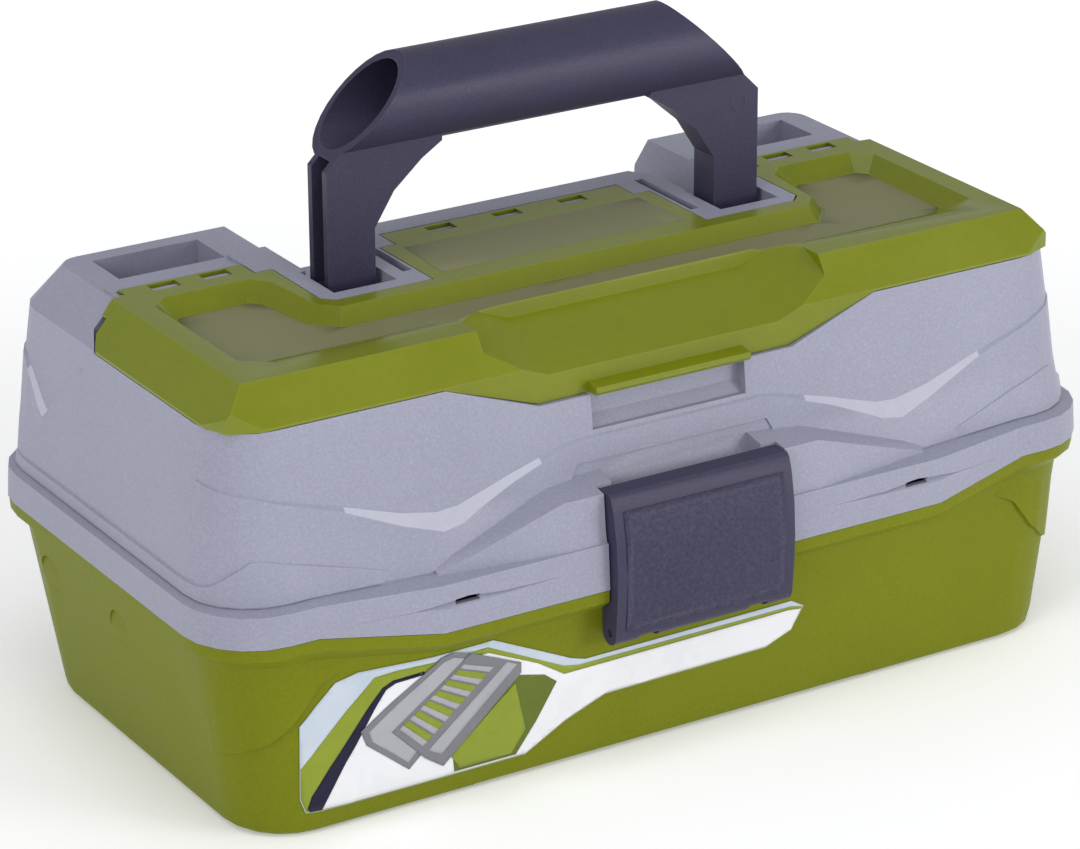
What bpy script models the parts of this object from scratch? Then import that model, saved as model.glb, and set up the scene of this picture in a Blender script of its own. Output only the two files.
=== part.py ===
"""One-tray fishing tackle box: moulded base, compartment lid, access lid, folding handle, latch and lift-up tray.

Frame: +X to the right as seen from the front, -Y towards the front, +Z up, origin at the middle of the footprint.
All driving sizes below are in millimetres; meshes are written in metres.
"""

import math

import bmesh
import bpy
from mathutils import Matrix, Vector

MM = 0.001

# ---- driving sizes -------------------------------------------------------------------------
GAP = 0.3                 # clearance left between pieces that touch
RUN = 0.3                 # radial clearance of a turning fit
WALL = 2.6                # moulded wall
OVER = 20.0               # how far a cutter runs past the material

LENGTH = 355.6            # over the lid's skirt
FRONT_Y = -86.0           # skirt face near the front corners
REAR_Y = 92.0             # skirt face at the back
CORNER_R = 26.0
CORNER_STEPS = 5

BOW = 8.0                 # how far the front stands forward beside the latch
BOW_FULL_X = 99.8         # full bow inside this
BOW_NONE_X = 141.7        # none outside this
PART_Z = 73.0             # parting line of lid and base
PART_DIP = 5.4            # how far the parting line drops where the front bows

BASE_DRAFT = 8.0          # each wall leans in by this much down to the floor
FLOOR_T = 2.8
FOOT_RISE = 1.2           # the floor's middle is lifted off the ground by this
FOOT_X = 80.0             # feet are outside this
FLANGE_H = 4.3
FLANGE_OUT = 4.5          # flange stands out past the wall
LIP_H = 4.5               # locating lip above the parting line
LIP_T = 2.4
LIP_PLAY = 1.0

SKIRT_H = 11.0
SKIRT_LEDGE = 3.6
SKIRT_SLOT_X = 90.2       # small slot through the skirt's front
SKIRT_SLOT_Z = 77.3
LID_EDGE_Z = 142.3        # where the top chamfer starts
LID_EDGE_IN = 11.2        # how far the end walls have leaned in there
LID_TOP_Z = 156.0
POD_TOP_Z = 154.5
CHAMFER = 13.0
CEILING_Z = 126.0         # underside of the lid's floor

HINGE_Y = 94.0
HINGE_Z = PART_Z
HINGE_R = 4.0
HINGE_PIN_R = 1.5
HINGE_X = 105.0           # middle of each rear hinge
HINGE_KNUCKLE = 14.0

ACCESS_EDGE_Z = 141.8     # lower edge of the access lid
ACCESS_DROP_Z = 129.5     # and where it drops in the middle of the front
ACCESS_DROP_X = 50.0
ACCESS_RISE_X = 85.7
ACCESS_HINGE_Y = 31.6
ACCESS_HINGE_Z = 153.6
ACCESS_BAR_R = 1.5
ACCESS_T = 2.3
WING_REAR_Y = 24.6
KNUCKLE_REAR_Y = 34.8
CHANNEL_Z = 150.3         # floor of the sunk channel in the access lid
SLOT_W = 10.5
OUTER_SLOTS = (134.6, 115.2)
MIDDLE_SLOTS = (-27.0, 0.0, 27.0)

SOCKET_IN = 65.6          # handle socket, inner and outer side
SOCKET_OUT = 90.0
SOCKET_FRONT_Y = -6.5
FRAME_IN = 55.0           # grey frame around the socket
FRAME_OUT = 96.8
FRAME_FRONT_Y = -12.8

POD_IN = 88.3
TROUGH_Y = 46.0
TROUGH_Z = 128.8
LEG_CHANNEL_Z = 137.6
POCKET_FLOOR_Z = 143.0

HANDLE_PIVOT_Y = 9.0
HANDLE_PIVOT_Z = 145.0
HANDLE_PIN_R = 2.5
LEG_IN = 68.7
LEG_OUT = 87.0
LEG_DEPTH = 12.8
LEG_WALL = 2.7
GRIP_R = 16.0
GRIP_T = 2.6
GRIP_Y = 12.5
GRIP_Z = 213.2

LATCH_HALF = 35.6
LATCH_PLAY = 0.6
LATCH_PIN_Y = -92.6
LATCH_PIN_Z = 51.0
LATCH_PIN_R = 1.25
LATCH_BARREL_R = 4.2
LATCH_TOP_Z = 100.8
LATCH_BACK_Y = -85.0
LATCH_T = 2.4
LUG_X = 22.0
LUG_W = 7.0
LUG_R = 2.6

ARM_LENGTH = 45.0
ARM_REST_DEG = 10.0       # arms point forward and this much up when the box is shut
ARM_R = 5.5
ARM_T = 3.2
ARM_IN = 163.0            # inner face of the arms
ARM_BASE_Z = 49.0
ARM_BASE_Y = {"front": 2.0, "rear": 55.0}
MARK_R = 6.75             # ejector mark over each arm's boss
MARK_X = 170.3
RIVET_R = 2.4
RIVET_HEAD_R = 4.2
RIVET_HEAD_T = 1.4

TRAY_HALF = 160.5
TRAY_FRONT_Y = -72.0
TRAY_REAR_Y = 62.0
TRAY_Z = 48.0
TRAY_H = 32.0
TRAY_WALL = 2.0
TROUGH_WIDTH = 30.0       # front trough of the tray
DIVIDERS = 6
DIVIDER_T = 1.6
DIVIDER_RIB = 1.8

BRACKET_X = 164.7
BRACKET_T = 3.2

HALF = LENGTH / 2
FRONT_DRAFT = 7.5

GREEN = ((0.26, 0.29, 0.022, 1), 0.42)
GLOSS_GREEN = ((0.28, 0.32, 0.02, 1), 0.2)
GREY = ((0.33, 0.335, 0.43, 1), 0.5)
SLATE = ((0.047, 0.045, 0.08, 1), 0.45)
PALE = ((0.42, 0.43, 0.46, 1), 0.5)
STEEL = ((0.6, 0.6, 0.6, 1), 0.3)
PAPER = ((0.8, 0.8, 0.82, 1), 0.3)


# ---- modelling helpers -----------------------------------------------------------------------
def finish(name, look):
    """Looks up or makes the named material."""
    material = bpy.data.materials.get(name) or bpy.data.materials.new(name)
    material.use_nodes = True
    shader = material.node_tree.nodes["Principled BSDF"]
    shader.inputs["Base Color"].default_value = look[0]
    shader.inputs["Roughness"].default_value = look[1]
    shader.inputs["Metallic"].default_value = 1.0 if look is STEEL else 0.0
    return material


def add(name, bm, look=None):
    """Links the bmesh, in millimetres, as an object in metres."""
    bmesh.ops.recalc_face_normals(bm, faces=bm.faces)
    bmesh.ops.scale(bm, vec=(MM, MM, MM), verts=bm.verts)
    mesh = bpy.data.meshes.new(name)
    bm.to_mesh(mesh)
    bm.free()
    thing = bpy.data.objects.new(name, mesh)
    bpy.context.scene.collection.objects.link(thing)
    if look:
        mesh.materials.append(finish(name, look))
    return thing


def loft(name, rings, look=None, flat_faces=False):
    """One closed solid through the rings, capped at the first and the last; flat_faces splits twisted sides."""
    bm = bmesh.new()
    rows = [[bm.verts.new(point) for point in ring] for ring in rings]
    for below, above in zip(rows, rows[1:]):
        for i in range(len(below)):
            j = (i + 1) % len(below)
            bm.faces.new((below[i], below[j], above[j], above[i]))
    bm.faces.new(rows[0])
    bm.faces.new(rows[-1])
    if flat_faces:
        bmesh.ops.triangulate(bm, faces=bm.faces[:])
    return add(name, bm, look)


def prism(name, outline, low, high, axis="Z", look=None):
    """Extrudes an outline: (x, y) along Z, or (y, z) along X."""
    if axis == "Z":
        rings = [[(x, y, level) for x, y in outline] for level in (low, high)]
    else:
        rings = [[(level, y, z) for y, z in outline] for level in (low, high)]
    return loft(name, rings, look)


def block(name, low, high, look=None):
    """A box between two corners."""
    outline = [(low[0], low[1]), (high[0], low[1]), (high[0], high[1]), (low[0], high[1])]
    return prism(name, outline, low[2], high[2], look=look)


def circle(y, z, radius, steps=20, start=0.0, sweep=360.0):
    """Points on a circle in the (y, z) plane; an arc when sweep is less than a full turn."""
    count = steps if sweep == 360.0 else steps + 1
    turn = [math.radians(start + sweep * i / steps) for i in range(count)]
    return [(y + radius * math.cos(a), z + radius * math.sin(a)) for a in turn]


def rod(name, y, z, radius, low, high, look=None, steps=20):
    """A cylinder along X."""
    return prism(name, circle(y, z, radius, steps), low, high, "X", look)


def combine(target, tool, operation):
    """Applies an exact Boolean and removes the tool."""
    modifier = target.modifiers.new("combine", "BOOLEAN")
    modifier.operation = operation
    modifier.solver = "EXACT"
    modifier.object = tool
    bpy.context.view_layer.update()
    result = target.evaluated_get(bpy.context.evaluated_depsgraph_get())
    mesh = bpy.data.meshes.new_from_object(result)
    target.modifiers.clear()
    target.data = mesh
    bpy.data.objects.remove(tool)


def cut(target, *tools):
    """Takes each tool out of the target."""
    for tool in tools:
        combine(target, tool, "DIFFERENCE")


def join(target, *tools):
    """Adds each tool to the target."""
    for tool in tools:
        combine(target, tool, "UNION")


def smooth(thing, degrees=35.0):
    """Shades round parts smooth and leaves the hard edges."""
    thing.data.shade_smooth()
    thing.data.set_sharp_from_angle(angle=math.radians(degrees))


def axis_empty(name, y, z, parent=None):
    """An empty on a joint axis that runs along X."""
    empty = bpy.data.objects.new(name, None)
    bpy.context.scene.collection.objects.link(empty)
    empty.location = (0, y * MM, z * MM)
    if parent:
        empty.parent = parent
        bpy.context.view_layer.update()
        empty.matrix_parent_inverse = parent.matrix_world.inverted()
    bpy.context.view_layer.update()
    return empty


def hang(empty, *things):
    """Parents pieces to an axis empty without moving them."""
    for thing in things:
        thing.parent = empty
        thing.matrix_parent_inverse = empty.matrix_world.inverted()
        smooth(thing)


# ---- shared outlines -------------------------------------------------------------------------
def bow_share(x):
    """1 where the front is fully bowed, 0 near the corners."""
    return min(1.0, max(0.0, (BOW_NONE_X - abs(x)) / (BOW_NONE_X - BOW_FULL_X)))


def ring(z, half, front, rear, radius, bow=0.0, dip=0.0):
    """A rounded rectangle at height z whose front may bow forward and dip."""
    corners = [
        (half - radius, front + radius, -90),
        (half - radius, rear - radius, 0),
        (radius - half, rear - radius, 90),
        (radius - half, front + radius, 180),
    ]
    points = []
    for cx, cy, start in corners:
        for i in range(CORNER_STEPS + 1):
            turn = math.radians(start + 90 * i / CORNER_STEPS)
            points.append((cx + radius * math.cos(turn), cy + radius * math.sin(turn), z))
    start = min(BOW_NONE_X, half - radius - 1.0)
    for x in (-start, -BOW_FULL_X, BOW_FULL_X, start):
        share = 1.0 if abs(x) == BOW_FULL_X else 0.0
        points.append((x, front - bow * share, z - dip * share))
    return points


# ---- base --------------------------------------------------------------------------------------
WALL_LOW_Z = 4.5          # the wall starts above the rounded foot
WALL_TOP_Z = PART_Z - GAP - FLANGE_H - FLANGE_OUT
WALL_TOP_FRONT = FRONT_Y + FLANGE_OUT - 0.5
WALL_LOW_FRONT = -80.5
WALL_BOW = 6.0


def wall_ring(share):
    """Outer ring of the drafted wall, share 0 at the foot and 1 under the flange."""
    half = HALF - FLANGE_OUT - 0.8 - BASE_DRAFT * (1 - share)
    rear = REAR_Y - FLANGE_OUT - BASE_DRAFT * (1 - share)
    front = WALL_LOW_FRONT + (WALL_TOP_FRONT - WALL_LOW_FRONT) * share
    z = WALL_LOW_Z + (WALL_TOP_Z - WALL_LOW_Z) * share
    return ring(z, half, front, rear, 24 + share, WALL_BOW * share, PART_DIP * share)


def base_rings():
    """Outer rings up to the rim, then inner rings down to the floor."""
    low = HALF - FLANGE_OUT - 0.8 - BASE_DRAFT
    top = HALF - FLANGE_OUT - 0.8
    front_low = WALL_LOW_FRONT
    rear_low = REAR_Y - FLANGE_OUT - BASE_DRAFT
    lip_half = HALF - 3.2 - LIP_PLAY
    lip_front = FRONT_Y + 3.2 + LIP_PLAY
    lip_rear = REAR_Y - 2.8 - LIP_PLAY
    rim = PART_Z - GAP
    inside = LIP_T + 0.3
    return [
        ring(0.0, low - 3.2, front_low + 3.2, rear_low - 3.2, 21),
        ring(FOOT_RISE + 0.5, low - 0.8, front_low + 0.8, rear_low - 0.8, 23),
        *[wall_ring(share) for share in (0.0, 0.33, 0.67, 1.0)],
        ring(rim - FLANGE_H, HALF - 0.6, FRONT_Y + 0.5, REAR_Y - 0.6, CORNER_R, BOW, PART_DIP),
        ring(rim, HALF - 0.3, FRONT_Y + 0.3, REAR_Y - 0.3, CORNER_R, BOW, PART_DIP),
        ring(rim, lip_half, lip_front, lip_rear, 23, BOW, PART_DIP),
        ring(rim + LIP_H, lip_half - 0.3, lip_front + 0.3, lip_rear - 0.3, 23, BOW, PART_DIP),
        ring(rim + LIP_H, lip_half - inside, lip_front + inside, lip_rear - inside, 21, BOW, PART_DIP),
        ring(WALL_TOP_Z, top - WALL, WALL_TOP_FRONT + WALL, REAR_Y - FLANGE_OUT - WALL, 22, WALL_BOW, PART_DIP),
        ring(6.0, low - WALL, front_low + WALL, rear_low - WALL, 21),
        ring(FLOOR_T, low - 5.6, front_low + 5.6, rear_low - 5.6, 18),
    ]


def latch_lug(x):
    """Ear that holds the latch pin, on the base's front wall."""
    reach = -83.5
    outline = circle(LATCH_PIN_Y, LATCH_PIN_Z, LUG_R, 10, 90, 180)
    outline += [(reach, LATCH_PIN_Z - LUG_R - 3.0), (reach, LATCH_PIN_Z + LUG_R)]
    return prism("lug", outline, x - LUG_W / 2, x + LUG_W / 2, "X")


def knuckle(y, z, radius, low, high, web_low, web_high, web_y):
    """Hinge barrel with a web back to its wall."""
    barrel = rod("knuckle", y, z, radius, low, high, steps=16)
    join(barrel, block("web", (low, web_y, web_low), (high, y, web_high)))
    return barrel


def knuckle_spans(centre):
    """X ranges of one hinge: base, lid, base."""
    half = HINGE_KNUCKLE / 2
    return [
        (centre - half - GAP - HINGE_KNUCKLE, centre - half - GAP),
        (centre - half, centre + half),
        (centre + half + GAP, centre + half + GAP + HINGE_KNUCKLE),
    ]


def base_tub():
    """Moulded tub with flange, lip, hinge knuckles, latch lugs and arm bosses."""
    tub = loft("base_tub", base_rings(), GREEN)
    cut(tub, block("rise", (-FOOT_X, -200, -OVER), (FOOT_X, 200, FOOT_RISE)))
    slot = LATCH_HALF + LATCH_PLAY
    cut(tub, block("slot", (-slot, -200, LATCH_PIN_Z - 6), (slot, LATCH_PIN_Y + LATCH_BARREL_R + 0.5, PART_Z + OVER)))
    for side in (-1, 1):
        join(tub, latch_lug(side * LUG_X))
        centre = side * HINGE_X
        spans = knuckle_spans(centre)
        for low, high in (spans[0], spans[2]):
            join(tub, knuckle(HINGE_Y, HINGE_Z, HINGE_R, low, high, PART_Z - 9, PART_Z - 1.0, REAR_Y - 2.0))
        low, high = spans[1]
        cut(tub, rod("relief", HINGE_Y, HINGE_Z, HINGE_R + 0.5, low - GAP, high + GAP))
        cut(tub, rod("bore", HINGE_Y, HINGE_Z, HINGE_PIN_R + GAP, centre - 60, centre + 60, steps=12))
        for y in ARM_BASE_Y.values():
            inner, outer = sorted((side * (ARM_IN + ARM_T + GAP), side * 170.0))
            join(tub, rod("boss", y, ARM_BASE_Z, ARM_R + 1.2, inner, outer))
            inner, outer = sorted((side * 100.0, side * 169.0))
            cut(tub, rod("hole", y, ARM_BASE_Z, RIVET_R + GAP, inner, outer, steps=12))
            inner, outer = sorted((side * MARK_X, side * (MARK_X + OVER)))
            cut(tub, rod("mark", y, ARM_BASE_Z, MARK_R, inner, outer, steps=24))
    cut(tub, rod("pin_hole", LATCH_PIN_Y, LATCH_PIN_Z, LATCH_PIN_R + GAP, -40, 40, steps=12))
    smooth(tub)
    return tub


def wall_y(x, z):
    """Y of the base's outer front wall."""
    top_z = WALL_TOP_Z - PART_DIP * bow_share(x)
    top_y = WALL_TOP_FRONT - WALL_BOW * bow_share(x)
    share = (z - WALL_LOW_Z) / (top_z - WALL_LOW_Z)
    return WALL_LOW_FRONT + share * (top_y - WALL_LOW_FRONT)


def front_label():
    """Die-cut film label on the base's front wall, bent to follow it."""
    outline = [
        (-139.5, 9.0), (-139.5, 49.5), (-134.8, 54.4), (-127, 56.6), (-78, 57.2), (-46.5, 42), (-40.8, 40.2),
        (43, 41), (48.5, 37.8), (44.5, 29), (34, 24.5), (-17, 24), (-31.5, 23.8), (-46.7, 17.5), (-62, 9),
    ]
    bm = bmesh.new()
    face = bm.faces.new([bm.verts.new((x, 0, z)) for x, z in outline])
    bmesh.ops.triangulate(bm, faces=[face])
    folds = [((x, 0, 0), (1, 0, 0)) for x in (-BOW_FULL_X - 24, -BOW_FULL_X - 12, -BOW_FULL_X)]
    folds += [((0, 0, z), (0, 0, 1)) for z in (23.0, 41.0)]
    for place, normal in folds:
        everything = bm.verts[:] + bm.edges[:] + bm.faces[:]
        bmesh.ops.bisect_plane(bm, geom=everything, plane_co=place, plane_no=normal)
    bmesh.ops.triangulate(bm, faces=bm.faces[:])
    for vert in bm.verts:
        twisted = vert.co.x < -BOW_FULL_X + 0.1
        vert.co.y = wall_y(vert.co.x, vert.co.z) - GAP - (0.4 if twisted else 0.0)
    back = bm.faces[:]
    grown = bmesh.ops.extrude_face_region(bm, geom=back, use_keep_orig=True)
    moved = [item for item in grown["geom"] if isinstance(item, bmesh.types.BMVert)]
    bmesh.ops.translate(bm, vec=(0, -0.35, 0), verts=moved)
    return add("front_label", bm, PAPER)


# ---- lid shell ---------------------------------------------------------------------------------
def lid_rings():
    """Inner rings from the ceiling down to the skirt's edge, then outer rings up to the top."""
    skirt_z = PART_Z + SKIRT_H
    ledge = HALF - SKIRT_LEDGE
    edge = HALF - LID_EDGE_IN
    share = (CEILING_Z - skirt_z) / (LID_EDGE_Z - skirt_z)
    wall_half = ledge + (edge - ledge) * share - WALL
    return [
        ring(CEILING_Z, wall_half, -72.4 + WALL, 86.4 - WALL, 18),
        ring(100.0, ledge - 1.6 - WALL, -76.4 + WALL, 88.4 - WALL, 21),
        ring(skirt_z - 1.5, ledge - WALL, -80.4 + WALL, 89.6 - WALL, 22, 4),
        ring(skirt_z - 2.5, HALF - 3.6, FRONT_Y + 3.6, REAR_Y - 2.8, CORNER_R - 2, BOW),
        ring(PART_Z, HALF - 3.2, FRONT_Y + 3.2, REAR_Y - 2.8, CORNER_R - 2, BOW, PART_DIP),
        ring(PART_Z, HALF, FRONT_Y, REAR_Y, CORNER_R, BOW, PART_DIP),
        ring(skirt_z, HALF - 0.5, FRONT_Y + 0.5, REAR_Y - 0.5, CORNER_R, BOW - 0.5),
        ring(skirt_z + 1.0, ledge, -80.4, 89.6, 24, 4),
        ring(101.0, ledge - 1.6, -76.4, 88.4, 23),
        ring(LID_EDGE_Z, edge, -71.4, 84.5, 19),
        ring(POD_TOP_Z, edge - CHAMFER, -71.4 + CHAMFER, 75.5, 8),
    ]


def buttress(side):
    """Raised shoulder beside the latch: a wedge from the ledge up to the latch's top."""
    foot = PART_Z + SKIRT_H - 0.9
    low_back = -82.9
    high_back = -75.2
    sections = [
        (30.0, -92.3, -90.6, LATCH_TOP_Z + 0.3, 103.6),
        (51.0, -92.3, -88.6, LATCH_TOP_Z - 0.6, 102.0),
        (97.6, -88.5, -86.5, foot + 1.6, 87.5),
    ]
    rings = []
    for x, toe, brow, brow_z, crest_z in sections:
        back = high_back if crest_z > 95 else -82.6
        rings.append([
            (side * x, low_back, foot), (side * x, toe, foot), (side * x, brow, brow_z), (side * x, back, crest_z),
        ])
    return loft("buttress", rings, flat_faces=True)


def access_outline(spread=0.0):
    """Plan of the access lid at its lower edge, right half from the middle of the front round to the back."""
    end = HALF - LID_EDGE_IN + spread
    front = -71.3 - spread
    return [
        (0.0, front),
        (152.0, front),
        (end - 3.6, -67.0 - spread),
        (end, -57.0),
        (end, 19.0),
        (end - 5.0, WING_REAR_Y + 3.0 + spread * 2.5),
        (149.6 + spread, WING_REAR_Y + 4.5 + spread * 2.5),
        (149.6 + spread, KNUCKLE_REAR_Y + spread * 2.5),
        (103.5 - spread, KNUCKLE_REAR_Y + spread * 2.5),
        (103.5 - spread, WING_REAR_Y + spread),
        (FRAME_OUT - spread, WING_REAR_Y + spread),
        (FRAME_OUT - spread, FRAME_FRONT_Y + 4.0 + spread),
        (FRAME_OUT - 4.0 - spread, FRAME_FRONT_Y + spread),
        (FRAME_IN + spread, FRAME_FRONT_Y + spread),
        (FRAME_IN + spread, WING_REAR_Y - 1.0 + spread),
        (48.5 + spread, WING_REAR_Y - 1.0 + spread),
        (48.5 + spread, KNUCKLE_REAR_Y + spread * 2.5),
        (0.0, KNUCKLE_REAR_Y + spread * 2.5),
    ]


def closed(half_outline):
    """Both halves of a half outline whose first and last points lie on the centre line."""
    return half_outline + [(-x, y) for x, y in reversed(half_outline[1:-1])]


def front_notch(low_z, grow=0.0):
    """Wedge that lowers the access lid's seat in the middle of the front, (x, z) drawn and run along Y."""
    bm = bmesh.new()
    drop = ACCESS_EDGE_Z - low_z
    outline = [
        (-ACCESS_RISE_X - grow, low_z + drop),
        (-ACCESS_DROP_X - grow, low_z),
        (ACCESS_DROP_X + grow, low_z),
        (ACCESS_RISE_X + grow, low_z + drop),
        (ACCESS_RISE_X + grow, 170),
        (-ACCESS_RISE_X - grow, 170),
    ]
    rows = [[bm.verts.new((x, y, z)) for x, z in outline] for y in (-100.0, -60.0)]
    for i in range(len(outline)):
        j = (i + 1) % len(outline)
        bm.faces.new((rows[0][i], rows[0][j], rows[1][j], rows[1][i]))
    bm.faces.new(rows[0])
    bm.faces.new(rows[1])
    return add("notch", bm)


def bay_half():
    """Plan of the storage bay under the access lid, right half."""
    return [
        (0.0, -66.5), (146.0, -66.5), (161.0, -54.0), (161.0, 16.0), (154.0, 22.0),
        (FRAME_OUT + 2.6, 22.0), (FRAME_OUT + 2.6, FRAME_FRONT_Y - 2.6),
        (FRAME_IN - 2.6, FRAME_FRONT_Y - 2.6), (FRAME_IN - 2.6, 22.0), (0.0, 22.0),
    ]


def hinge_saddles(lid):
    """Bars that the access lid turns on, each on a web rising through a slot."""
    for low, high in ((-149.6, -103.5), (-48.5, 48.5), (103.5, 149.6)):
        join(lid, rod("bar", ACCESS_HINGE_Y, ACCESS_HINGE_Z, ACCESS_BAR_R, low - 1.5, high + 1.5, steps=12))
    for x in slot_places():
        half = SLOT_W / 2 - 0.6
        y = ACCESS_HINGE_Y
        join(lid, block("web", (x - half, y - 0.9, ACCESS_EDGE_Z - 2), (x + half, y + 0.9, ACCESS_HINGE_Z)))


def slot_places():
    """X of every slot in the access lid's hinge edge."""
    outer = [side * x for side in (-1, 1) for x in OUTER_SLOTS]
    return outer + list(MIDDLE_SLOTS)


def rear_relief(lid):
    """Pods, trough for the folded handle, leg channels, sockets and their grooves."""
    trough = [(TROUGH_Y, TROUGH_Z), (200.0, TROUGH_Z), (200.0, 200.0), (TROUGH_Y, 200.0)]
    cut(lid, prism("trough", trough, -POD_IN, POD_IN, "X"))
    for side in (-1, 1):
        def span(a, b):
            return sorted((side * a, side * b))
        low, high = span(SOCKET_IN + 0.8, POD_IN - 0.4)
        cut(lid, block("leg_channel", (low, HANDLE_PIVOT_Y, LEG_CHANNEL_Z), (high, TROUGH_Y + 5, 200)))
        flare = [(70.0, 31.0), (67.9, 34.0), (60.0, TROUGH_Y + 0.8), (60.0, TROUGH_Y + 5), (70.0, TROUGH_Y + 5)]
        cut(lid, prism("gusset_way", [(side * x, y) for x, y in flare], LEG_CHANNEL_Z, 200))
        low, high = span(SOCKET_IN, SOCKET_OUT)
        cut(lid, block("socket", (low, SOCKET_FRONT_Y, LEG_CHANNEL_Z - 1), (high, 17.0, 200)))
        low, high = span(56.6, 60.2)
        cut(lid, block("groove", (low, -1.0, POD_TOP_Z - 6), (high, 36.0, 200)))
        low, high = span(102.5, 143.0)
        cut(lid, block("pocket", (low, 47.5, POCKET_FLOOR_Z), (high, 68.5, 200)))
        low, high = span(62.5, 93.0)
        pin = rod("bore", HANDLE_PIVOT_Y, HANDLE_PIVOT_Z, HANDLE_PIN_R + GAP, low, high, steps=12)
        cut(lid, pin)
        low, high = span(93.0, 158.0)
        cut(lid, block("pod_hollow", (low, 44.0, 100), (high, 76.0, POCKET_FLOOR_Z - WALL)))
    cut(lid, block("strip_hollow", (-52.0, 27.5, 100), (52.0, TROUGH_Y - WALL, 144.5)))


def skirt_scallop(side):
    """Long sliver scooped out of the skirt's front beside the latch."""
    face = FRONT_Y - BOW + 0.5
    sections = [
        (51.0, face, 76.8, 0.05), (90.2, face, 76.6, 1.0), (BOW_FULL_X, face, 76.4, 0.8),
        (127.6, FRONT_Y - BOW * bow_share(127.6) + 0.4, 75.8, 0.05),
    ]
    rings = []
    for x, y, z, size in sections:
        rings.append([
            (side * x, y - 3.0, z + 6.0 * size), (side * x, y - 3.0, z - 4.0 * size),
            (side * x, y + 1.7 * size, z + 0.6 * size),
        ])
    return loft("scallop", rings, flat_faces=True)


def lid_shell():
    """Moulded lid with a storage bay, its seats and the relief around the handle."""
    lid = loft("lid_shell", lid_rings(), GREY)
    for side in (-1, 1):
        join(lid, buttress(side))
        cut(lid, skirt_scallop(side))
        low, high = sorted((side * (SKIRT_SLOT_X - 4.5), side * (SKIRT_SLOT_X + 4.5)))
        cut(lid, block("skirt_slot", (low, -110, SKIRT_SLOT_Z - 1.1), (high, -88.0, SKIRT_SLOT_Z + 1.1)))
    slot = LATCH_HALF + LATCH_PLAY
    low = (-slot - 2.0, LATCH_BACK_Y - 2.0, PART_Z + 0.2)
    join(lid, block("latch_wall", low, (slot + 2.0, LATCH_BACK_Y + 2.7, PART_Z + SKIRT_H - 0.5)))
    cut(lid, block("latch_slot", (-slot, -200, 0), (slot, LATCH_BACK_Y + 0.4, LATCH_TOP_Z + 20)))
    strip = block("strip", (-FRAME_OUT - 6, FRAME_FRONT_Y - 3, 140), (FRAME_OUT + 6, TROUGH_Y, LID_TOP_Z))
    join(lid, strip)
    join(lid, block("wing_back", (-152, 18, 139.4), (152, 41.0, LID_TOP_Z - 1.1)))
    cut(lid, prism("seat", closed(access_outline(0.5)), ACCESS_EDGE_Z - GAP, 200))
    cut(lid, front_notch(ACCESS_DROP_Z - GAP, 0.4))
    cut(lid, prism("bay", closed(bay_half()), CEILING_Z + WALL, 200))
    join(lid, block("scoop_back", (-34.0, -72.0, 112.0), (34.0, -66.0, CEILING_Z + 1)))
    scoop = [(-90, 117), (-72.5, 117), (-69.6, 121), (-69.2, 128), (-69.2, 140), (-90, 140)]
    cut(lid, prism("scoop", scoop, -30.7, 30.7, "X"))
    rear_relief(lid)
    hinge_saddles(lid)
    for side in (-1, 1):
        centre = side * HINGE_X
        spans = knuckle_spans(centre)
        low, high = spans[1]
        join(lid, knuckle(HINGE_Y, HINGE_Z, HINGE_R, low, high, PART_Z + 0.6, PART_Z + 9, REAR_Y - 2.3))
        for low, high in (spans[0], spans[2]):
            cut(lid, rod("relief", HINGE_Y, HINGE_Z, HINGE_R + 0.5, low - GAP, high + GAP))
        cut(lid, rod("bore", HINGE_Y, HINGE_Z, HINGE_PIN_R + RUN, centre - 60, centre + 60, steps=12))
    return lid


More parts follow.
